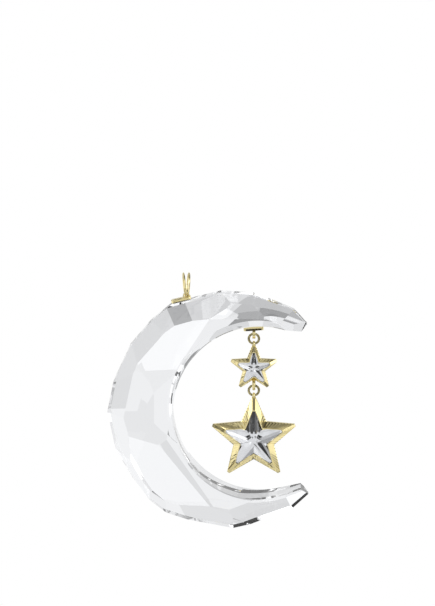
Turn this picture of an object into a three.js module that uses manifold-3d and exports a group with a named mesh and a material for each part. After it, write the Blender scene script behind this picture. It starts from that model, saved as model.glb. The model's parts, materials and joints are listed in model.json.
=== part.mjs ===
// Crystal moon ornament: a cut-crystal crescent that hangs from two wire loops, with a small and a large
// star charm chained inside it on jump rings. Millimetres, +Z up, +X to the right; the front faces -Y.
// The origin is the hang point, where a ribbon crosses the top of the two loops.
import * as THREE from "three";
import { mergeVertices } from "three/addons/utils/BufferGeometryUtils.js";
import Module from "manifold-3d";

// Crescent crystal; its own zero is the centre of the bay
const crescentThickness = 17;
const landWidth = 3; // the flat band left along the outer edge, between the front and back bevels
const bayRadiusX = 28.9; // the bay is a little taller than wide
const bayRadiusZ = 29.7;
const bayCentreX = 1.5;
const bayCentreZ = 0.4;
const hornFlatAngle = 77; // the bay's arc runs into a straight flat at this angle above and below
const hornTipX = 18.4; // where both horns are cut off blunt
const tipStart = 15.4; // the flats end here
const tipTurn = 41; // degrees that the horns' inner corners are cut off at
const frontChamfer = 0.35; // where the bay meets the front
const backChamfer = 0.6; // where the bay meets the bevel round its back
const backBevelWidth = 1.5;
const backBevelSlope = 26;
const arcStep = 4; // degrees between two points of the bay's arc

// Each cut is a flat ground square to the direction, at the reach from the crescent's zero;
// the bevels start at its land, and their slopes are measured from the faces.
const outlineCuts = [
  { direction: 42, reach: 32.5, frontBevel: 50, backBevel: 45 },
  { direction: 68, reach: 36.6, frontBevel: 55, backBevel: 42 },
  { direction: 86, reach: 39.4, frontBevel: 55, backBevel: 44 },
  { direction: 104, reach: 41.8, frontBevel: 46.3, backBevel: 47, holdsCap: true },
  { direction: 130, reach: 45.5, frontBevel: 46, backBevel: 60 },
  { direction: 140, reach: 46, frontBevel: 45, backBevel: 58 },
  { direction: 155.5, reach: 46.9, frontBevel: 50, backBevel: 60 },
  { direction: 168.5, reach: 48.2, frontBevel: 42, backBevel: 57 },
  { direction: 192, reach: 48.4, frontBevel: 44, backBevel: 59 },
  { direction: 210, reach: 47.1, frontBevel: 56, backBevel: 57 },
  { direction: 216, reach: 46.8, frontBevel: 58, backBevel: 60 },
  { direction: 231.5, reach: 46.3, frontBevel: 50, backBevel: 58 },
  { direction: 251, reach: 43.2, frontBevel: 45, backBevel: 57 },
  { direction: 259, reach: 41.5, frontBevel: 42, backBevel: 60 },
  { direction: 283, reach: 38.2, frontBevel: 42, backBevel: 56 },
  { direction: 291, reach: 36.4, frontBevel: 38, backBevel: 54 },
  { direction: 313, reach: 33.5, frontBevel: 40, backBevel: 52 },
];

// Each facet starts at its reach on the flat face and falls away from it by its slope.
const frontFacets = [
  { direction: 144.3, reach: 29.8, slope: 9.5 },
  { direction: 135.6, reach: 27.7, slope: 2.5 },
  { direction: 170.6, reach: 27.7, slope: 7.5 },
  { direction: 217, reach: 30.6, slope: 12 },
  { direction: 214.3, reach: 29.2, slope: 5 },
  { direction: 118.4, reach: 37.4, slope: 45.5 },
  { direction: 93.2, reach: 33, slope: 32.1 },
  { direction: 87.5, reach: 32.7, slope: 37.3 },
  { direction: 300, reach: 31.5, slope: 12 },
];
const backFacets = [
  { direction: 82, reach: 0, slope: 4.5 },
  { direction: 278, reach: 1, slope: 4.5 },
  { direction: 150, reach: 31, slope: 5 },
  { direction: 212, reach: 32, slope: 5 },
  { direction: 0, reach: -33, slope: 5 },
];

// Cap plates and their eyelets
const plateLength = 6.7;
const plateDepth = 3.4;
const plateThickness = 0.8;
const plateCorner = 0.8;
const glueThickness = 0.15;
const capAlong = 14.8; // from the foot of the cut's reach down along the cut to the middle of the plate
const lowerHoleDrop = 4.045; // from the top of the bay to the middle of the hole in the lower eyelet
const capEyeletShift = 2; // the eyelet stands this far up the slope from the plate's middle
// Eyelets; the height is from the surface that the eyelet is cast on to the middle of its hole
const capEyelet = { holeRadius: 0.74, wall: 0.42, thickness: 0.8, height: 0.4 };
const plateEyelet = { holeRadius: 1, wall: 0.95, thickness: 1, height: 1.1 }; // a ring leans in it
const starLowerEyelet = { holeRadius: 1, wall: 1, thickness: 1.1, height: 1.8 };
const starTopEyelet = { holeRadius: 0.53, wall: 0.42, thickness: 0.8, height: 0.3 }; // turns about a wire

// Hanger loops
const loopWireRadius = 0.29;
const loopHeight = 8.1;
const loopWidth = 6.8;
const loopLean = 4.5; // degrees each loop leans out sideways
const loopTurn = 5.5; // degrees both loops are turned about the vertical
const loopGap = 0.12;
const hangerLift = 0.1; // the loops' wire stands this far above the middle of the cap eyelet's hole

// Jump rings
const ringWireRadius = 0.4;
const ringRadius = 1.7;
const ringDrop = 0.3; // a ring's wire hangs this far below the middle of the eyelet's hole
const chainX = -0.35;

// Star charms
const starPoints = 5;
const starTipWidth = 0.9;
const floorThickness = 0.5;
const settingGap = 0.1; // between a crystal and its metal star, all round
const foilThickness = 0.1;
const layerGap = 0.02; // between the glue, the foil and the crystal of a star
const smallStar = {
  name: "small_star",
  radius: 8,
  notch: 3.95,
  edgeThickness: 0.7,
  rise: 1.5,
  crystalRadius: 5.4,
  crystalNotch: 2.55,
  rimWidth: 0.3,
  crystalDepth: 1.2,
  crown: 1.3,
  tableRadius: 0.5,
  glueThickness: 0.1,
};
const largeStar = {
  name: "large_star",
  radius: 14.55,
  notch: 7.17,
  edgeThickness: 0.9,
  rise: 2.4,
  crystalRadius: 9.8,
  crystalNotch: 4.6,
  rimWidth: 0.35,
  crystalDepth: 1.8,
  crown: 2,
  tableRadius: 0.8,
  glueThickness: 0.15,
};

// Mesh fineness
const wireSides = 10;
const ringSegments = 30;
const loopSegments = 40;
const boreSegments = 24;
const cornerSegments = 4;

// Materials
const crystal = { color: 0xf4f6fa, roughness: 0.02, metalness: 0, transparent: true, opacity: 0.45 };
const gold = { color: 0xe8d49a, roughness: 0.18, metalness: 1 };
const silver = { color: 0xd9dde4, roughness: 0.12, metalness: 1 };
const glue = { color: 0xe6e6df, roughness: 0.5, metalness: 0 };

const wasm = await Module();
wasm.setup();

const radians = THREE.MathUtils.degToRad;
const cutBlock = 160; // larger than the crescent every way

function solid(geometry) {
  const bare = geometry.clone();
  bare.deleteAttribute("normal");
  bare.deleteAttribute("uv");
  const merged = mergeVertices(bare, 1e-4);
  return new wasm.Manifold(
    new wasm.Mesh({
      numProp: 3,
      vertProperties: merged.getAttribute("position").array,
      triVerts: new Uint32Array(merged.getIndex().array),
    }),
  );
}

function geometryOf(shape) {
  const mesh = shape.getMesh();
  const geometry = new THREE.BufferGeometry();
  geometry.setAttribute("position", new THREE.BufferAttribute(mesh.vertProperties, 3));
  geometry.setIndex(new THREE.BufferAttribute(mesh.triVerts, 1));
  const faceted = geometry.toNonIndexed();
  faceted.computeVertexNormals();
  return faceted;
}

function named(name, geometry, finish) {
  const mesh = new THREE.Mesh(geometry, new THREE.MeshStandardMaterial(finish));
  mesh.name = name;
  return mesh;
}

// The unit vector across the crescent's faces at an angle from +X towards +Z
function across(degrees) {
  return new THREE.Vector3(Math.cos(radians(degrees)), 0, Math.sin(radians(degrees)));
}

// Rings of points with equal counts, joined in order along the depth, with a flat cap at each end
function loft(rings) {
  const count = rings[0].length;
  const positions = rings.flat().flatMap((p) => [p.x, p.y, p.z]);
  const index = [];
  for (let level = 0; level < rings.length - 1; level++) {
    for (let i = 0; i < count; i++) {
      const j = (i + 1) % count;
      const [a, b] = [level * count + i, level * count + j];
      index.push(a, a + count, b, b, a + count, b + count);
    }
  }
  const first = rings.length * count;
  const last = (rings.length - 1) * count;
  for (const ring of [rings[0], rings.at(-1)]) {
    const centre = ring.reduce((sum, p) => sum.add(p), new THREE.Vector3()).divideScalar(count);
    positions.push(centre.x, centre.y, centre.z);
  }
  for (let i = 0; i < count; i++) {
    const j = (i + 1) % count;
    index.push(first, i, j);
    index.push(first + 1, last + j, last + i);
  }
  const geometry = new THREE.BufferGeometry();
  geometry.setAttribute("position", new THREE.Float32BufferAttribute(positions, 3));
  geometry.setIndex(index);
  return geometry;
}

// A block whose near face lies on the plane through the point, square to the normal
function blockBeyond(point, normal) {
  const geometry = new THREE.BoxGeometry(cutBlock, cutBlock, cutBlock);
  geometry.translate(cutBlock / 2, 0, 0);
  const turn = new THREE.Quaternion().setFromUnitVectors(new THREE.Vector3(1, 0, 0), normal);
  geometry.applyQuaternion(turn);
  geometry.translate(point.x, point.y, point.z);
  return geometry;
}

// A facet that falls away from a face: side is -1 on the front and 1 on the back
function facetBlock(side, direction, reach, depth, slope) {
  const point = across(direction).multiplyScalar(reach).setY(side * depth);
  const normal = across(direction).multiplyScalar(Math.sin(radians(slope)));
  normal.y = side * Math.cos(radians(slope));
  return blockBeyond(point, normal);
}

// The bay's outline, widened by the growth: its arc, the two flats, and the cuts at the horns' corners
function bayOutline(growth, depth) {
  const [spanX, spanZ] = [bayRadiusX + growth, bayRadiusZ + growth];
  const arc = 360 - 2 * hornFlatAngle;
  const steps = Math.round(arc / arcStep);
  const points = [];
  for (let step = 0; step <= steps; step++) {
    const ray = across(hornFlatAngle + (arc * step) / steps);
    points.push(new THREE.Vector3(ray.x * spanX, 0, ray.z * spanZ));
  }
  const start = across(hornFlatAngle);
  const along = new THREE.Vector3(start.z * spanX, 0, -start.x * spanZ).normalize();
  const [upper, lower] = [points[0], points.at(-1)].map((foot, i) => {
    const side = i ? -1 : 1;
    const run = (tipStart - bayCentreX - foot.x) / along.x;
    const corner = foot.clone().add(new THREE.Vector3(along.x, 0, side * along.z).multiplyScalar(run));
    return [corner, corner.clone().addScaledVector(across(side * tipTurn), hornTipX)];
  });
  const middle = new THREE.Vector3(bayCentreX, depth, bayCentreZ);
  return [...points, ...lower, upper[1], upper[0]].map((p) => p.add(middle));
}

function bayCutter(growth) {
  const half = crescentThickness / 2;
  const rise = backBevelWidth * Math.tan(radians(backBevelSlope));
  return loft([
    bayOutline(growth + 2 * frontChamfer, -half - frontChamfer),
    bayOutline(growth, -half + frontChamfer),
    bayOutline(growth, half - rise - backChamfer),
    bayOutline(growth + backChamfer, half - rise),
    bayOutline(growth + backChamfer + 2 * backBevelWidth, half + rise),
  ]);
}

function crescentCrystal() {
  const half = crescentThickness / 2;
  const blank = new THREE.BoxGeometry(cutBlock, crescentThickness, cutBlock);
  let shape = solid(blank).subtract(solid(blockBeyond(new THREE.Vector3(hornTipX, 0, 0), across(0))));
  for (const cut of outlineCuts) {
    const outward = across(cut.direction);
    shape = shape.subtract(solid(blockBeyond(outward.clone().multiplyScalar(cut.reach), outward)));
    for (const [side, slope] of [[-1, cut.frontBevel], [1, cut.backBevel]]) {
      shape = shape.subtract(solid(facetBlock(side, cut.direction, cut.reach, landWidth / 2, slope)));
    }
  }
  for (const [side, facets] of [[-1, frontFacets], [1, backFacets]]) {
    for (const facet of facets) {
      shape = shape.subtract(solid(facetBlock(side, facet.direction, facet.reach, half, facet.slope)));
    }
  }
  return shape.subtract(solid(bayCutter(0)));
}

// A plate with rounded corners, its underside on Z = 0
function plateOutline() {
  const [x, y] = [plateLength / 2, plateDepth / 2];
  const outline = new THREE.Shape();
  outline.moveTo(-x + plateCorner, -y);
  outline.lineTo(x - plateCorner, -y);
  outline.absarc(x - plateCorner, -y + plateCorner, plateCorner, -Math.PI / 2, 0);
  outline.absarc(x - plateCorner, y - plateCorner, plateCorner, 0, Math.PI / 2);
  outline.absarc(-x + plateCorner, y - plateCorner, plateCorner, Math.PI / 2, Math.PI);
  outline.absarc(-x + plateCorner, -y + plateCorner, plateCorner, Math.PI, Math.PI * 1.5);
  return outline;
}

function plateGeometry(thickness) {
  const options = { depth: thickness, bevelEnabled: false, curveSegments: cornerSegments };
  return new THREE.ExtrudeGeometry(plateOutline(), options);
}

// An eyelet in the XZ plane, round the origin; turned a quarter it lies in the YZ plane
function eyeletGeometry(eyelet, quarterTurn) {
  const outline = new THREE.Shape().absarc(0, 0, eyelet.holeRadius + eyelet.wall, 0, Math.PI * 2);
  outline.holes.push(new THREE.Path().absarc(0, 0, eyelet.holeRadius, 0, Math.PI * 2, true));
  const options = { depth: eyelet.thickness, bevelEnabled: false, curveSegments: boreSegments / 2 };
  const geometry = new THREE.ExtrudeGeometry(outline, options);
  geometry.translate(0, 0, -eyelet.thickness / 2);
  geometry.rotateX(Math.PI / 2);
  if (quarterTurn) geometry.rotateZ(Math.PI / 2);
  return geometry;
}

// Casts an eyelet onto a body, with its hole drilled through both
function withEyelet(body, eyelet, quarterTurn, x, z) {
  const { holeRadius, thickness } = eyelet;
  const bore = new THREE.CylinderGeometry(holeRadius, holeRadius, thickness * 3, boreSegments);
  if (quarterTurn) bore.rotateZ(Math.PI / 2);
  bore.translate(x, 0, z);
  const ring = eyeletGeometry(eyelet, quarterTurn);
  ring.translate(x, 0, z);
  return body.add(solid(ring)).subtract(solid(bore));
}

// One wire loop in the YZ plane, its lowest point at the origin
class LoopCurve extends THREE.Curve {
  getPoint(t, target = new THREE.Vector3()) {
    const turn = Math.PI * 2 * t;
    const y = (loopWidth / 2 - loopWireRadius) * Math.sin(turn);
    const z = (loopHeight / 2 - loopWireRadius) * (1 - Math.cos(turn));
    return target.set(0, y, z);
  }
}

function hangerLoop(name, side) {
  const geometry = new THREE.TubeGeometry(new LoopCurve(), loopSegments, loopWireRadius, wireSides, true);
  const mesh = named(name, geometryOf(solid(geometry)), gold);
  mesh.position.x = side * (loopWireRadius + loopGap / 2);
  mesh.rotation.set(0, side * radians(loopLean), radians(loopTurn));
  return mesh;
}

function jumpRing(name) {
  const geometry = new THREE.TorusGeometry(ringRadius, ringWireRadius, wireSides, ringSegments);
  geometry.rotateX(Math.PI / 2);
  return named(name, geometryOf(solid(geometry)), gold);
}

// A star's outline with blunt tips: each tip has two points and each notch has one
function starOutline(radius, notch, depth) {
  const points = [];
  for (let i = 0; i < starPoints; i++) {
    const angle = 90 - (360 / starPoints) * i;
    const tip = across(angle).multiplyScalar(radius);
    const sideways = across(angle - 90).multiplyScalar(starTipWidth / 2);
    points.push(tip.clone().sub(sideways).setY(depth));
    points.push(tip.clone().add(sideways).setY(depth));
    points.push(across(angle - 180 / starPoints).multiplyScalar(notch).setY(depth));
  }
  return points.reverse();
}

// The depths of a star's layers; the front of its metal edge lies in the plane of the chain
function starLayers(star) {
  const front = 0;
  const back = star.edgeThickness;
  const floor = back - floorThickness;
  const foil = floor - star.glueThickness - layerGap;
  const crystalBack = foil - foilThickness - layerGap;
  return { back, front, floor, foil, crystalBack, rim: front - star.rise };
}

function starFrame(star, lowerEyelet) {
  const depth = starLayers(star);
  const settingRadius = star.crystalRadius + settingGap;
  const settingNotch = star.crystalNotch + settingGap;
  const body = solid(
    loft([
      starOutline(settingRadius + star.rimWidth, settingNotch + star.rimWidth, depth.rim),
      starOutline(star.radius, star.notch, depth.front),
      starOutline(star.radius, star.notch, depth.back),
    ]),
  );
  const pocket = solid(
    loft([
      starOutline(settingRadius, settingNotch, depth.rim - star.rise),
      starOutline(settingRadius, settingNotch, depth.floor),
    ]),
  );
  let shape = withEyelet(body.subtract(pocket), starTopEyelet, true, 0, topEyeletZ(star));
  if (lowerEyelet) shape = withEyelet(shape, starLowerEyelet, true, 0, lowerEyeletZ(star));
  return named(star.name + "_frame", geometryOf(shape), gold);
}

const topEyeletZ = (star) => star.radius + starTopEyelet.height;
const lowerEyeletZ = (star) => -star.notch - starLowerEyelet.height;

// A thin star layer that fills the setting, such as its glue or its foil
function starLayer(name, star, front, back, finish) {
  const rings = [front, back].map((depth) => starOutline(star.crystalRadius, star.crystalNotch, depth));
  return named(name, geometryOf(solid(loft(rings))), finish);
}

// The crystal star: straight sides, then five ridges and five valleys up to a small table
function starCrystal(star) {
  const depth = starLayers(star);
  const girdle = depth.crystalBack - star.crystalDepth;
  const shape = solid(
    loft([
      starOutline(star.tableRadius + starTipWidth, star.tableRadius, girdle - star.crown),
      starOutline(star.crystalRadius, star.crystalNotch, girdle),
      starOutline(star.crystalRadius, star.crystalNotch, depth.crystalBack),
    ]),
  );
  return named(star.name + "_crystal", geometryOf(shape), crystal);
}

function starCharm(star, lowerEyelet) {
  const depth = starLayers(star);
  const charm = new THREE.Group();
  const glueFront = depth.floor - star.glueThickness;
  charm.add(
    starFrame(star, lowerEyelet),
    starLayer(star.name + "_glue", star, glueFront, depth.floor - layerGap, glue),
    starLayer(star.name + "_foil", star, depth.foil - foilThickness, depth.foil, silver),
    starCrystal(star),
  );
  return charm;
}

// Where the cap sits on its cut, and where the eyelet's hole stands above it
const capCut = outlineCuts.find((cut) => cut.holdsCap);
const capSlope = capCut.direction - 90;
const capUp = across(capCut.direction);
const capRight = across(capSlope);
const capSeat = capUp.clone().multiplyScalar(capCut.reach).addScaledVector(capRight, -capAlong);
const capLift = 2 * layerGap + glueThickness; // the plate's underside above the crystal
const capHole = capSeat
  .clone()
  .addScaledVector(capRight, capEyeletShift)
  .addScaledVector(capUp, capLift + plateThickness + capEyelet.height);
// From the middle of a loop's lowest wire to the inside of its top
const loopInside = loopHeight - 3 * loopWireRadius;
const hangPoint = capHole.clone();
hangPoint.z += hangerLift + loopInside;

function topCap() {
  const cap = solid(plateGeometry(plateThickness));
  const shape = withEyelet(cap, capEyelet, false, capEyeletShift, plateThickness + capEyelet.height);
  const mesh = named("top_cap_plate", geometryOf(shape), gold);
  mesh.position.z = capLift;
  const pad = named("top_cap_glue", plateGeometry(glueThickness), glue);
  pad.position.z = layerGap;
  const group = new THREE.Group().add(mesh, pad);
  group.position.copy(capSeat);
  group.rotation.y = -radians(capSlope);
  return group;
}

// The lower plate is square to the bay's wall above it; its top is arched to the wall, with glue between.
const lowerHoleZ = bayCentreZ + bayRadiusZ - lowerHoleDrop;
const lowerArc = (chainX - bayCentreX) / bayRadiusX;
const lowerTilt = Math.atan((lowerArc * bayRadiusZ) / (Math.sqrt(1 - lowerArc ** 2) * bayRadiusX));

// The plate's outline drawn up from its underside past the wall
function lowerBlock() {
  const geometry = plateGeometry(bayRadiusZ);
  geometry.translate(0, 0, plateEyelet.height);
  geometry.rotateY(lowerTilt);
  return solid(geometry.translate(chainX, 0, lowerHoleZ));
}

function lowerCap() {
  const underWall = solid(bayCutter(-layerGap));
  const underGlue = solid(bayCutter(-layerGap - glueThickness));
  const body = lowerBlock().intersect(solid(bayCutter(-capLift)));
  const plate = withEyelet(body, plateEyelet, true, chainX, lowerHoleZ);
  const pad = lowerBlock().intersect(underWall).subtract(underGlue);
  return new THREE.Group().add(
    named("lower_cap_plate", geometryOf(plate), gold),
    named("lower_cap_glue", geometryOf(pad), glue),
  );
}

// The chain: each ring's wire hangs in the eyelet above it, and each star's eyelet turns on the ring below
const upperRingZ = lowerHoleZ - ringDrop - ringRadius;
const smallStarZ = upperRingZ - ringRadius - topEyeletZ(smallStar);
const lowerRingZ = smallStarZ + lowerEyeletZ(smallStar) - ringDrop - ringRadius;
const largeStarZ = lowerRingZ - ringRadius - topEyeletZ(largeStar);

function placed(object, x, z) {
  object.position.set(x, 0, z);
  return object;
}

const moon = new THREE.Group();
moon.add(
  named("crescent_crystal", geometryOf(crescentCrystal()), crystal),
  topCap(),
  lowerCap(),
  placed(jumpRing("upper_jump_ring"), chainX, upperRingZ),
  placed(starCharm(smallStar, true), chainX, smallStarZ),
  placed(jumpRing("lower_jump_ring"), chainX, lowerRingZ),
  placed(starCharm(largeStar, false), chainX, largeStarZ),
);
moon.position.copy(hangPoint).negate();

const hanger = new THREE.Group();
hanger.add(hangerLoop("hanger_loop_left", -1), hangerLoop("hanger_loop_right", 1));
hanger.position.z = capHole.z + hangerLift - hangPoint.z;

const group = new THREE.Group();
group.add(moon, hanger);
export default group;
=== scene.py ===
# Crystal moon ornament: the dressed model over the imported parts. Lengths in the dictionaries are
# millimetres and angles are degrees; the front faces -Y and the origin is the hang point.
import json
import math
import bmesh
import bpy
from mathutils import Matrix, Vector

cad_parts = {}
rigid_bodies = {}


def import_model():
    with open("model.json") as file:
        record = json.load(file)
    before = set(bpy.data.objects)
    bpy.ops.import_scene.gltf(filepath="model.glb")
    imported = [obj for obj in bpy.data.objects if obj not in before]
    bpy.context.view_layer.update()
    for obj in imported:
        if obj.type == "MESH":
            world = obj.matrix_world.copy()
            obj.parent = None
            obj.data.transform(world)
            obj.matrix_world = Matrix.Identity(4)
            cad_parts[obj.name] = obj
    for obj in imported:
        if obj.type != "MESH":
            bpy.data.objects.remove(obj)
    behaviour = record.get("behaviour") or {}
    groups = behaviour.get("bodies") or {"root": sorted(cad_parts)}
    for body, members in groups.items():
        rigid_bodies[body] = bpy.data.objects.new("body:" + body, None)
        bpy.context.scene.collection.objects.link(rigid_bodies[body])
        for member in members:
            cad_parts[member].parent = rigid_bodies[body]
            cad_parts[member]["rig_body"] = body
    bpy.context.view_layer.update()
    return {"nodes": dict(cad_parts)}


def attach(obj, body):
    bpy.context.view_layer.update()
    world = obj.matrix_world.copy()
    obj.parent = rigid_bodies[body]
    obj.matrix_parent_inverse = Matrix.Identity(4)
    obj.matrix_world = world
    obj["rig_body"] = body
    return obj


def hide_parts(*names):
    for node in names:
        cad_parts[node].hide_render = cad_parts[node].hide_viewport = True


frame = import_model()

scene = bpy.context.scene
scene.view_settings.view_transform = "Standard"
mm = 0.001
weld = 1e-3  # mm: corners closer than this are one corner
moonZero = Vector((22.8684, 0, -46.1405))  # the crescent's own zero, near the middle of its bay
chainX = 22.5184  # both stars and both rings hang on this line
nodes = frame["nodes"]
print("frame loaded:", len(nodes), "nodes")


# Small helpers

def srgb(code):  # hex colour to linear RGBA
    parts = [int(code[i:i + 2], 16) / 255 for i in (1, 3, 5)]
    return [c / 12.92 if c <= 0.04045 else ((c + 0.055) / 1.055) ** 2.4 for c in parts] + [1]


def addNode(tree, kind, inputs=None, **settings):  # one node with its settings and links
    node = tree.nodes.new(kind)
    for key, value in settings.items():
        setattr(node, key, value)
    for key, value in (inputs or {}).items():
        if isinstance(key, str):
            socket = next(s for s in node.inputs if s.name == key and s.enabled)
        else:
            socket = node.inputs[key]
        if isinstance(value, bpy.types.NodeSocket):
            tree.links.new(value, socket)
        else:
            socket.default_value = value
    return node


def result(node):  # the output in use, as a Mix node has one for each kind of value
    return next(socket for socket in node.outputs if socket.enabled)


def mathNode(tree, operation, *values):  # the output of one Math node
    return addNode(tree, "ShaderNodeMath", dict(enumerate(values)), operation=operation).outputs[0]


def newMaterial(name):
    material = bpy.data.materials.new(name)
    material.use_nodes = True
    tree = material.node_tree
    return material, tree, tree.nodes["Principled BSDF"]


def across(degrees):  # unit vector over the faces, from +X towards +Z
    return Vector((math.cos(math.radians(degrees)), 0, math.sin(math.radians(degrees))))


def addObject(name, bm):  # turns a finished bmesh into an object of the scene
    mesh = bpy.data.meshes.new(name)
    bm.to_mesh(mesh)
    bm.free()
    piece = bpy.data.objects.new(name, mesh)
    scene.collection.objects.link(piece)
    return piece


def breakEdges(bm, edges, width, segments):
    bmesh.ops.bevel(bm, geom=edges, offset=width / 2, offset_type="OFFSET", affect="EDGES",
                    segments=segments, profile=0.5, material=-1, clamp_overlap=True)


def finishPiece(name, bm, place, material, node, smoothUnder, isRound=None):
    # the mesh is made in millimetres round its own zero, then put in its place in metres
    bmesh.ops.recalc_face_normals(bm, faces=bm.faces)
    for face in bm.faces:
        face.smooth = isRound is None or isRound(face)
    bmesh.ops.transform(bm, verts=bm.verts, matrix=Matrix.Scale(mm, 4) @ Matrix.Translation(place))
    piece = addObject(name, bm)
    piece.data.set_sharp_from_angle(angle=math.radians(smoothUnder))
    piece.data.materials.append(material)
    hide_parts(node)
    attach(piece, nodes[node]["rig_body"])
    print("made", name, len(piece.data.polygons), "faces")


# Materials

# Cut crystal glass, ground and polished clear: it bends light hard and shows every facet's edge
cutCrystal, tree, shader = newMaterial("cutCrystal")
shader.inputs["Base Color"].default_value = srgb("#fbfcfe")
shader.inputs["Transmission Weight"].default_value = 1
shader.inputs["Roughness"].default_value = 0
shader.inputs["IOR"].default_value = 1.54

# Champagne-gold plating on cast brass, barrel polished: bright, pale yellow, with a faint softness
champagneGold, tree, shader = newMaterial("champagneGoldPlating")
place = addNode(tree, "ShaderNodeTexCoord")
marksPerMetre = 900  # the marks of the polishing barrel are about 1 mm across
marks = {"Vector": place.outputs["Object"], "Scale": marksPerMetre, "Detail": 3}
grain = addNode(tree, "ShaderNodeTexNoise", marks)
tones = {"Factor": grain.outputs["Fac"], "A": srgb("#e6d69a"), "B": srgb("#efe2ae")}
tone = addNode(tree, "ShaderNodeMix", tones, data_type="RGBA")
softness = {"Value": grain.outputs["Fac"], "To Min": 0.07, "To Max": 0.15}
gloss = addNode(tree, "ShaderNodeMapRange", softness)
tree.links.new(result(tone), shader.inputs["Base Color"])
tree.links.new(gloss.outputs["Result"], shader.inputs["Roughness"])
shader.inputs["Metallic"].default_value = 1

# Vacuum-silvered backing behind the star crystals: a bright mirror
silverFoil, tree, shader = newMaterial("silverFoil")
shader.inputs["Base Color"].default_value = srgb("#f8f8f8")
shader.inputs["Metallic"].default_value = 1
shader.inputs["Roughness"].default_value = 0.02

# Clear cured adhesive: a thin pale layer that is almost lost under the metal
curedGlue, tree, shader = newMaterial("curedGlue")
shader.inputs["Base Color"].default_value = srgb("#eeece4")
shader.inputs["Roughness"].default_value = 0.3
shader.inputs["Transmission Weight"].default_value = 0.6


# Crescent crystal

crescent = {
    # the land is the upright band that the bevels leave round the outside
    "blank": 120, "thickness": 17, "land": 3, "hornTip": 18.4,
    # the bay is a little taller than wide, and runs out into two flats whose ends are cut off
    "bayCentre": (1.5, 0.4), "bayRadii": (28.9, 29.7), "hornFlat": 77, "bayStep": 2,
    "tipStart": 15.4, "tipTurn": 41,
    "frontChamfer": 0.35, "backChamfer": 0.6, "backBevel": 1.5, "backSlope": 26,
    "polish": [(4, 0), (7.5, 0.07)],  # how far hand polishing hollows the bay's wall, at two depths
    # direction, reach, front bevel, back bevel
    "cuts": [
        (42, 32.5, 50, 45), (68, 36.6, 55, 42), (86, 39.4, 55, 44), (104, 41.8, 46.3, 47),
        (130, 45.5, 46, 60), (140, 46, 45, 58), (155.5, 46.9, 50, 60), (168.5, 48.2, 42, 57),
        (192, 48.4, 44, 59), (210, 47.1, 56, 57), (216, 46.8, 58, 60), (231.5, 46.3, 50, 58),
        (251, 43.2, 45, 57), (259, 41.5, 42, 60), (283, 38.2, 42, 56), (291, 36.4, 38, 54),
        (313, 33.5, 40, 52),
    ],
    # direction, reach, slope
    "frontFacets": [
        (144.3, 29.8, 9.5), (135.6, 27.7, 2.5), (170.6, 27.7, 7.5), (217, 30.6, 12), (214.3, 29.2, 5),
        (113, 36.6, 45.6), (93.2, 33, 32.1), (87.5, 32.7, 37.3), (300, 31.5, 12),
    ],
    "backFacets": [(82, 0, 4.5), (278, 1, 4.5), (150, 31, 5), (212, 32, 5), (0, -33, 5)],
    "edgeWidth": 0.3, "edgeAngle": 3.2,  # an edge is broken where the faces turn more than this
}


def grindFlat(bm, point, normal):  # grinds away all that stands beyond the plane and closes the cut
    everything = bm.verts[:] + bm.edges[:] + bm.faces[:]
    cut = bmesh.ops.bisect_plane(bm, geom=everything, plane_co=point, plane_no=normal, clear_outer=True,
                                 dist=1e-4)
    edges = [e for e in cut["geom_cut"] if isinstance(e, bmesh.types.BMEdge)]
    if edges:
        bmesh.ops.contextual_create(bm, geom=edges)


def facetNormal(side, direction, slope):
    normal = across(direction) * math.sin(math.radians(slope))
    normal.y = side * math.cos(math.radians(slope))
    return normal


def bayRing(bm, settings, depth, growth):  # the bay's outline at one depth, as a closed ring of edges
    spanX, spanZ = (radius + growth for radius in settings["bayRadii"])
    flat = math.radians(settings["hornFlat"])
    arc = 2 * math.pi - 2 * flat
    steps = round(math.degrees(arc) / settings["bayStep"])
    points = []
    for step in range(steps + 1):
        angle = flat + arc * step / steps
        points.append(Vector((spanX * math.cos(angle), depth, spanZ * math.sin(angle))))
    ends = []
    for foot, side in ((points[0], 1), (points[-1], -1)):
        along = Vector((spanX * math.sin(flat), 0, -side * spanZ * math.cos(flat))).normalized()
        corner = foot + along * (settings["tipStart"] - settings["bayCentre"][0] - foot.x) / along.x
        ends.append((corner, corner + across(side * settings["tipTurn"]) * settings["hornTip"]))
    (upper, upperEnd), (lower, lowerEnd) = ends
    ring = [bm.verts.new(point) for point in points + [lower, lowerEnd, upperEnd, upper]]
    return [bm.edges.new((ring[i - 1], ring[i])) for i in range(len(ring))]


def bayBlock(settings):  # the bay as a solid to cut with: a chamfer in front and two steps behind
    half = settings["thickness"] / 2
    front, step = settings["frontChamfer"], settings["backChamfer"]
    slope = math.tan(math.radians(settings["backSlope"]))
    rise = settings["backBevel"] * slope
    levels = [(-half - front, 2 * front), (-half + front, 0)]
    levels += [(-half + depth, growth) for depth, growth in settings["polish"]]
    levels += [(half - rise - step, 0), (half - rise, step)]
    levels += [(half + rise, step + 2 * settings["backBevel"])]
    bm = bmesh.new()
    rings = [bayRing(bm, settings, depth, growth) for depth, growth in levels]
    for low, high in zip(rings, rings[1:]):
        bmesh.ops.bridge_loops(bm, edges=low + high)
    for ring in (rings[0], rings[-1]):
        bmesh.ops.contextual_create(bm, geom=ring)
    bmesh.ops.translate(bm, verts=bm.verts, vec=(settings["bayCentre"][0], 0, settings["bayCentre"][1]))
    bmesh.ops.recalc_face_normals(bm, faces=bm.faces)
    return bm


def withoutBay(bm, cutter):  # takes one solid out of the other
    blank, bay = addObject("blank", bm), addObject("bay", cutter)
    boolean = blank.modifiers.new("bay", "BOOLEAN")
    boolean.operation = "DIFFERENCE"
    boolean.solver = "EXACT"
    boolean.object = bay
    bpy.context.view_layer.update()
    carved = bmesh.new()
    carved.from_object(blank, bpy.context.evaluated_depsgraph_get())
    for used in (blank, bay):
        bpy.data.objects.remove(used)
    return carved


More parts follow.
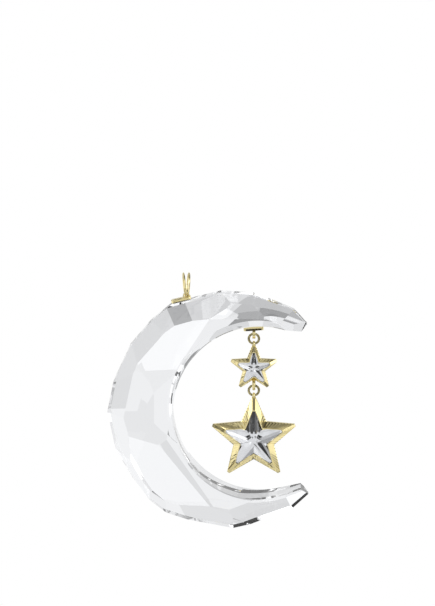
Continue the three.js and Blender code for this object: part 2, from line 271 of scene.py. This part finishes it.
def makeCrescent(settings):
    half = settings["thickness"] / 2
    bm = bmesh.new()
    bmesh.ops.create_cube(bm, size=settings["blank"])
    grindFlat(bm, (settings["hornTip"], 0, 0), across(0))
    for side in (-1, 1):
        grindFlat(bm, (0, side * half, 0), (0, side, 0))
    for direction, reach, *bevels in settings["cuts"]:
        foot = across(direction) * reach
        grindFlat(bm, foot, across(direction))
        for side, slope in zip((-1, 1), bevels):
            edge = foot + Vector((0, side * settings["land"] / 2, 0))
            grindFlat(bm, edge, facetNormal(side, direction, slope))
    for side, facets in ((-1, settings["frontFacets"]), (1, settings["backFacets"])):
        for direction, reach, slope in facets:
            start = across(direction) * reach + Vector((0, side * half, 0))
            grindFlat(bm, start, facetNormal(side, direction, slope))
    bmesh.ops.recalc_face_normals(bm, faces=bm.faces)
    bm = withoutBay(bm, bayBlock(settings))
    bmesh.ops.remove_doubles(bm, verts=bm.verts, dist=weld)
    least = math.radians(settings["edgeAngle"])
    edges = [e for e in bm.edges if e.is_manifold and e.calc_face_angle() > least]
    breakEdges(bm, edges, settings["edgeWidth"], segments=1)
    return bm


def onBayWall(face):  # only the bay is round; every other face is ground flat
    (x, z), (spanX, spanZ) = crescent["bayCentre"], crescent["bayRadii"]
    middle = face.calc_center_median()
    reach = math.hypot((middle.x - x) / spanX, (middle.z - z) / spanZ)  # 1 is the bay's own outline
    facesInwards = abs(face.normal.y) < 0.95
    return facesInwards and reach < 1.08


glass = makeCrescent(crescent)
finishPiece("cutCrescent", glass, moonZero, cutCrystal, "crescent_crystal",
            smoothUnder=3.5, isRound=onBayWall)


# Star charms

smallStar = {
    "name": "smallStar", "node": "small_star", "centre": (chainX, 0, -32.0855), "points": 5,
    "radius": 8, "notch": 3.95, "tip": 0.9, "edge": 0.7, "rise": 1.5,
    "rim": 0.3, "gap": 0.1, "floor": 0.5, "glue": 0.1,
    "crystalRadius": 5.4, "crystalNotch": 2.55, "crystalDepth": 1.2, "crown": 1.3, "table": 0.5,
    "grooves": 5, "grooveDepth": 0.1,
}
largeStar = {
    "name": "largeStar", "node": "large_star", "centre": (chainX, 0, -56.3855), "points": 5,
    "radius": 14.55, "notch": 7.17, "tip": 0.9, "edge": 0.9, "rise": 2.4,
    "rim": 0.35, "gap": 0.1, "floor": 0.5, "glue": 0.15,
    "crystalRadius": 9.8, "crystalNotch": 4.6, "crystalDepth": 1.8, "crown": 2, "table": 0.8,
    "grooves": 9, "grooveDepth": 0.13,
}
topEyelet = {"hole": 0.53, "wall": 0.42, "thickness": 0.8, "height": 0.3}
lowerEyelet = {"hole": 1, "wall": 1, "thickness": 1.1, "height": 1.8}
foilRoom = 0.14  # the foil, 0.1 mm thick, and the gap on either side of it
stoneEdge = 0.06  # how wide the broken edges of the stones are
tableTip = 0.5  # how far the points of a stone's table stand out, and how wide they are
ribRows = (0.06, 0.5, 0.93)  # the rows of the bevel that the ribs cross, as shares of its width


def starShell(bm, star, rows, grooved=()):
    # rows run over one half of a point: tip radius, notch radius, tip width and depth of each
    plane = 2 * star["grooves"]
    columns = plane + 2
    grid = bmesh.ops.create_grid(bm, x_segments=columns, y_segments=len(rows) - 1, size=1)
    half = math.pi / star["points"]
    for vert in grid["verts"]:
        column = round((vert.co.x + 1) / 2 * columns)
        row = round((vert.co.y + 1) / 2 * (len(rows) - 1))
        corners = []
        for tipRadius, notchRadius, tipWidth, depth in (rows[row], rows[min(row + 1, len(rows) - 1)]):
            notch = Vector((notchRadius * math.sin(half), depth, notchRadius * math.cos(half)))
            corners.append((notch, Vector((tipWidth / 2, depth, tipRadius))))
        (notch, tip), (nextNotch, _) = corners
        along = min(column / plane, 1)
        point = notch.lerp(tip, along)
        if column > plane:  # the last columns are the band on the ridge
            point.x *= (columns - column) / 2
        if row in grooved and column % 2 and column < plane:
            normal = (tip - notch).cross(nextNotch - notch).normalized()
            point += normal * star["grooveDepth"] * (-1 if normal.y < 0 else 1)
        vert.co = point
    every = bm.verts[:] + bm.edges[:] + bm.faces[:]
    bmesh.ops.mirror(bm, geom=every, matrix=Matrix.Identity(4), merge_dist=weld, axis="X")
    every = bm.verts[:] + bm.edges[:] + bm.faces[:]
    turn = 2 * math.pi / star["points"]
    bmesh.ops.spin(bm, geom=every, axis=(0, 1, 0), cent=(0, 0, 0), angle=turn * (star["points"] - 1),
                   steps=star["points"] - 1, use_merge=False, use_duplicate=True)
    bmesh.ops.remove_doubles(bm, verts=bm.verts, dist=weld)
    bmesh.ops.holes_fill(bm, edges=[e for e in bm.edges if e.is_boundary], sides=0)
    bmesh.ops.recalc_face_normals(bm, faces=bm.faces)


def softenEdges(bm, angle, width, segments):  # only corners that stand out are broken
    edges = [e for e in bm.edges if e.is_convex and e.calc_face_angle() > math.radians(angle)]
    breakEdges(bm, edges, width, segments)


def castEyelet(bm, eyelet, height):  # a round-edged ring cast on, with its hole along X
    ring = bmesh.new()
    bmesh.ops.create_circle(ring, segments=12, radius=0.5)
    bmesh.ops.scale(ring, verts=ring.verts, vec=(eyelet["thickness"], eyelet["wall"], 1))
    bmesh.ops.translate(ring, verts=ring.verts, vec=(0, eyelet["hole"] + eyelet["wall"] / 2, 0))
    bmesh.ops.spin(ring, geom=ring.verts[:] + ring.edges[:], axis=(1, 0, 0), cent=(0, 0, 0),
                   angle=2 * math.pi, steps=32, use_merge=True, use_duplicate=False)
    bmesh.ops.translate(ring, verts=ring.verts, vec=(0, 0, height))
    bmesh.ops.recalc_face_normals(ring, faces=ring.faces)
    spare = bpy.data.meshes.new("ring")
    ring.to_mesh(spare)
    ring.free()
    bm.from_mesh(spare)
    bpy.data.meshes.remove(spare)


def makeStar(star, hasLowerEyelet):
    floor = star["edge"] - star["floor"]
    crystalBack = floor - star["glue"] - foilRoom
    rim = -star["rise"]
    outer = (star["radius"], star["notch"], star["tip"])
    setRadius, setNotch = star["crystalRadius"] + star["gap"], star["crystalNotch"] + star["gap"]
    crest = (setRadius + star["rim"], setNotch + star["rim"], star["tip"])

    def between(share):
        return tuple(a + (b - a) * share for a, b in zip(outer + (0,), crest + (rim,)))

    bm = bmesh.new()
    setting = (setRadius, setNotch, star["tip"])
    side = [outer + (star["edge"],), outer + (0,)]
    bevel = [between(share) for share in ribRows]
    top = [crest + (rim,), setting + (rim,), setting + (floor,)]
    starShell(bm, star, side + bevel + top, grooved=range(len(side), len(side) + len(bevel)))
    castEyelet(bm, topEyelet, star["radius"] + topEyelet["height"])
    if hasLowerEyelet:
        castEyelet(bm, lowerEyelet, -star["notch"] - lowerEyelet["height"])
    centre = Vector(star["centre"])
    finishPiece(star["name"] + "Casting", bm, centre, champagneGold, star["node"] + "_frame",
                smoothUnder=12)

    girdle = crystalBack - star["crystalDepth"]
    bm = bmesh.new()
    plain = dict(star, grooves=1)
    body = (star["crystalRadius"], star["crystalNotch"], star["tip"])
    table = (star["table"] + tableTip, star["table"], tableTip)
    rows = [body + (crystalBack,), body + (girdle,), table + (girdle - star["crown"],)]
    starShell(bm, plain, rows)
    bmesh.ops.dissolve_limit(bm, angle_limit=math.radians(1), verts=bm.verts, edges=bm.edges)
    softenEdges(bm, angle=8, width=stoneEdge, segments=1)
    finishPiece(star["name"] + "Stone", bm, centre, cutCrystal, star["node"] + "_crystal",
                smoothUnder=5)


makeStar(smallStar, True)
makeStar(largeStar, False)


# Jump rings

jumpRing = {"radius": 1.7, "wire": 0.4, "slit": 1.2, "upper": -22.0855, "lower": -39.8355, "seamAt": 62}


def makeJumpRing(name, node, height, settings):
    bm = bmesh.new()
    bmesh.ops.create_circle(bm, segments=14, radius=settings["wire"], cap_ends=False)
    bmesh.ops.translate(bm, verts=bm.verts, vec=(settings["radius"], 0, 0))
    upright = Matrix.Rotation(math.pi / 2, 3, "X")
    seam = Matrix.Rotation(math.radians(-settings["seamAt"]), 3, "Y")
    bmesh.ops.rotate(bm, verts=bm.verts, cent=(0, 0, 0), matrix=seam @ upright)
    turn = math.radians(360 - settings["slit"])
    bmesh.ops.spin(bm, geom=bm.verts[:] + bm.edges[:], axis=(0, 1, 0), cent=(0, 0, 0),
                   angle=turn, steps=48, use_merge=False, use_duplicate=False)
    bmesh.ops.holes_fill(bm, edges=[e for e in bm.edges if e.is_boundary], sides=0)
    finishPiece(name, bm, Vector((chainX, 0, height)), champagneGold, node, smoothUnder=40)


makeJumpRing("upperRingWire", "upper_jump_ring", jumpRing["upper"], jumpRing)
makeJumpRing("lowerRingWire", "lower_jump_ring", jumpRing["lower"], jumpRing)


# Caps

cap = {"edgeWidth": 0.16}


def roundedCopy(name, node, width):  # the solid itself with its edges broken, as on a polished plate
    bm = bmesh.new()
    bm.from_mesh(nodes[node].data)
    bmesh.ops.transform(bm, verts=bm.verts, matrix=Matrix.Scale(1 / mm, 4))
    bmesh.ops.remove_doubles(bm, verts=bm.verts, dist=weld)
    bmesh.ops.dissolve_limit(bm, angle_limit=math.radians(1), verts=bm.verts, edges=bm.edges)
    softenEdges(bm, angle=32, width=width, segments=2)
    finishPiece(name, bm, Vector(), champagneGold, node, smoothUnder=35)


roundedCopy("topCapPlate", "top_cap_plate", cap["edgeWidth"])
roundedCopy("lowerCapPlate", "lower_cap_plate", cap["edgeWidth"])


# Nodes that keep their solid

for node, material in (
    ("hanger_loop_left", champagneGold), ("hanger_loop_right", champagneGold),
    ("small_star_foil", silverFoil), ("large_star_foil", silverFoil),
    ("top_cap_glue", curedGlue), ("lower_cap_glue", curedGlue),
    ("small_star_glue", curedGlue), ("large_star_glue", curedGlue),
):
    nodes[node].data.materials.clear()
    nodes[node].data.materials.append(material)
print("materials set on the solids that stay")


# Floor, world, lamps and camera

studio = {
    "floorDrop": 600, "floorSize": 300, "floorShare": 0.85, "floorGlow": 1.08,
    "elevation": 13, "lens": 400, "distance": 2244, "aim": (10.37, 0, -9.87),
    # the room's level by the height of a direction, from straight down to straight up
    "room": [
        (-1, 1.1), (-0.92, 1), (-0.86, 0.75), (-0.6, 0.8), (-0.3, 0.9),
        (0.25, 0.9), (0.6, 0.85), (0.75, 0.25), (1, 0.12),
    ],
    # White, grey and black cards stand round the crystal. Their places and levels were chosen for the
    # main view, with traced rays as a guide, so they suit that view and no other. Each is seen in the
    # directions whose x and z lie within its two spans; a span of y makes it a ring. A later card lies
    # over an earlier one.
    "cardsBehind": [
        ((0.03, 0.2), (-0.37, -0.305), 1.04),
        ((0.065, 0.26), (-0.16, -0.1), 1),
        ((0.015, 0.046), (-0.2, -0.155), 0.75),
        ((0.04, 0.15), (-0.262, -0.2), 0.82),
        ((0.05, 0.14), (-0.78, -0.64), 0.7),
        ((0.14, 0.23), (-0.76, -0.55), 0.45),
        ((-0.35, -0.05), (-0.8, -0.5), 0.57),
        ((-0.03, 0.05), (-0.6, -0.5), 1.02),
        ((-0.55, -0.35), (-0.62, -0.45), 0.5),
        ((0.23, 0.58), (-0.68, -0.42), 0.73),
        ((0.43, 0.52), (-0.4, -0.33), 0.72),
        ((-0.02, 0.13), (0.2, 0.34), 0.75),
        ((-0.27, -0.1), (0.07, 0.25), 0.72),
        ((-0.5, -0.28), (-0.14, 0.16), 0.42),
        ((-0.36, -0.335), (0.07, 0.09), 1.1),
        ((0.52, 0.66), (-0.02, 0.3), 1),
        ((-1, 0.03), (-0.15, 0.235), 0.3, (0.945, 0.962)),
        ((-1, 0), (0.8, 1), 0.5),
        ((0, 1), (0.8, 1), 0.5),
        ((0.55, 1), (0.38, 0.8), 0.15),
        ((-1, -0.55), (0.4, 0.8), 0.8),
        ((-0.5, -0.38), (0.85, 0.9), 0.7),
        ((-1, -0.7), (-0.75, 0.4), 1.25),
        ((-0.5, 0), (0.46, 0.6), 0.45),
        ((0.66, 1), (-0.75, 0.3), 1.2),
        ((-0.06, -0.03), (-0.24, -0.21), 0.32),
        ((-0.08, -0.02), (-0.17, -0.12), 0.35),
        ((-0.26, 0.02), (0.42, 0.46), 1.05),
        ((-0.32, 0.12), (0.66, 0.74), 0.35),
        ((-0.18, -0.08), (0.62, 0.655), 0.95),
    ],
    "cardsInFront": [
        ((-0.6, 0.6), (-0.66, 0.6), 0.8),
        ((-0.1, 0.1), (-0.62, -0.4), 0.02),
        ((0.1, 0.38), (-0.56, -0.4), 0.06),
        ((-0.36, -0.1), (-0.56, -0.4), 0.1),
        ((-0.18, -0.09), (-0.13, -0.04), 0.03),
        ((0.3, 0.6), (-0.06, 0.5), 1.25),
        ((-0.6, -0.3), (-0.06, 0.5), 0.55),
        ((-0.45, -0.3), (-0.3, -0.15), 0.4),
        ((-0.06, 0.06), (0.66, 0.78), 0.25),
        ((-0.5, -0.25), (0.6, 0.8), 0.25),
        ((-0.6, 0.6), (0.8, 1), 0.05),
        ((-1, -0.75), (-0.7, 0.6), 1.15),
        ((-0.86, -0.78), (0, 0.08), 0.06),
        ((-0.75, -0.6), (0.4, 0.6), 0.25),
        ((0.65, 1), (0.4, 0.6), 0.13),
        ((0.79, 1), (-0.45, 0.08), 0.3),
        ((0.3, 0.6), (-0.95, -0.7), 0.25),
    ],
}


bm = bmesh.new()
bmesh.ops.create_grid(bm, x_segments=1, y_segments=1, size=studio["floorSize"] / 2)
down = Matrix.Translation((0, 0, -studio["floorDrop"]))
bmesh.ops.transform(bm, verts=bm.verts, matrix=Matrix.Scale(mm, 4) @ down)
floor = addObject("floor", bm)
paleFloor, tree, shader = newMaterial("paleFloor")
shader.inputs["Base Color"].default_value = srgb("#f4f4f4")
shader.inputs["Roughness"].default_value = 0.9
rays = addNode(tree, "ShaderNodeLightPath")
shown = rays.outputs["Is Camera Ray"]
for kind in ("Is Glossy Ray", "Is Transmission Ray"):
    shown = mathNode(tree, "MAXIMUM", shown, rays.outputs[kind])
shown = mathNode(tree, "MULTIPLY", shown, studio["floorShare"])
white = addNode(tree, "ShaderNodeEmission", {"Color": (1, 1, 1, 1), "Strength": studio["floorGlow"]})
blend = addNode(tree, "ShaderNodeMixShader", {0: shown, 1: shader.outputs[0], 2: white.outputs[0]})
tree.links.new(blend.outputs[0], tree.nodes["Material Output"].inputs["Surface"])
floor.data.materials.append(paleFloor)

world = bpy.data.worlds.new("studio")
scene.world = world
world.use_nodes = True
tree = world.node_tree
tree.nodes.clear()


def addRoom(height, stops):  # levels between the stops, by the height of the direction
    share = addNode(tree, "ShaderNodeMapRange", {"Value": height, "From Min": -1, "From Max": 1})
    ramp = addNode(tree, "ShaderNodeValToRGB", {"Fac": share.outputs[0]})
    elements = ramp.color_ramp.elements
    while len(elements) < len(stops):
        elements.new(0.5)
    for element, (position, level) in zip(elements, stops):
        element.position = (position + 1) / 2
        element.color = (level, level, level, 1)
    return ramp.outputs["Color"]


def addCards(view, parts, cards):  # lays each card over the view so far
    for spanX, spanZ, level, *spanY in cards:
        seen = 1
        for axis, (low, high) in zip("XZY", (spanX, spanZ, *spanY)):
            within = mathNode(tree, "COMPARE", parts.outputs[axis], (low + high) / 2, (high - low) / 2)
            seen = mathNode(tree, "MULTIPLY", seen, within)
        card = addNode(tree, "ShaderNodeMix", {"Factor": seen, "A": view, "B": (level, level, level, 1)},
                       data_type="RGBA")
        view = result(card)
    return view


place = addNode(tree, "ShaderNodeTexCoord")
parts = addNode(tree, "ShaderNodeSeparateXYZ", {0: place.outputs["Generated"]})
bareRoom = addRoom(parts.outputs["Z"], studio["room"])
behind = addCards(bareRoom, parts, studio["cardsBehind"])
inFront = addCards(bareRoom, parts, studio["cardsInFront"])
isBehind = mathNode(tree, "GREATER_THAN", parts.outputs["Y"], 0)
halves = {"Factor": isBehind, "A": inFront, "B": behind}
level = addNode(tree, "ShaderNodeMix", halves, data_type="RGBA")
room = addNode(tree, "ShaderNodeBackground", {"Color": result(level), "Strength": 1})
rays = addNode(tree, "ShaderNodeLightPath")
backdrop = addNode(tree, "ShaderNodeBackground", {"Color": (1, 1, 1, 1), "Strength": 1})
sides = {0: rays.outputs["Is Camera Ray"], 1: room.outputs[0], 2: backdrop.outputs[0]}
mixed = addNode(tree, "ShaderNodeMixShader", sides)
addNode(tree, "ShaderNodeOutputWorld", {"Surface": mixed.outputs[0]})


def addSoftbox(name, place, aim, width, height, power):
    lamp = bpy.data.lights.new(name, "AREA")
    lamp.shape = "RECTANGLE"
    lamp.size, lamp.size_y, lamp.energy = width, height, power
    holder = bpy.data.objects.new(name, lamp)
    holder.location = place
    holder.rotation_euler = (Vector(aim) - Vector(place)).to_track_quat("-Z", "Y").to_euler()
    scene.collection.objects.link(holder)


middle = (0.01, 0, -0.045)
addSoftbox("softboxLeft", (-0.7, -0.55, 0.45), middle, 0.5, 0.5, 1.6)
addSoftbox("softboxRight", (0.75, -0.35, 0.25), middle, 0.35, 0.6, 1.2)

aim = Vector(studio["aim"]) * mm
elevation = math.radians(studio["elevation"])
towards = Vector((0, -math.cos(elevation), math.sin(elevation)))
view = bpy.data.cameras.new("camera")
view.lens = studio["lens"]
view.sensor_width = 36
view.clip_start = 0.01
camera = bpy.data.objects.new("camera", view)
camera.location = aim + towards * studio["distance"] * mm
camera.rotation_euler = (-towards).to_track_quat("-Z", "Y").to_euler()
scene.collection.objects.link(camera)
scene.camera = camera
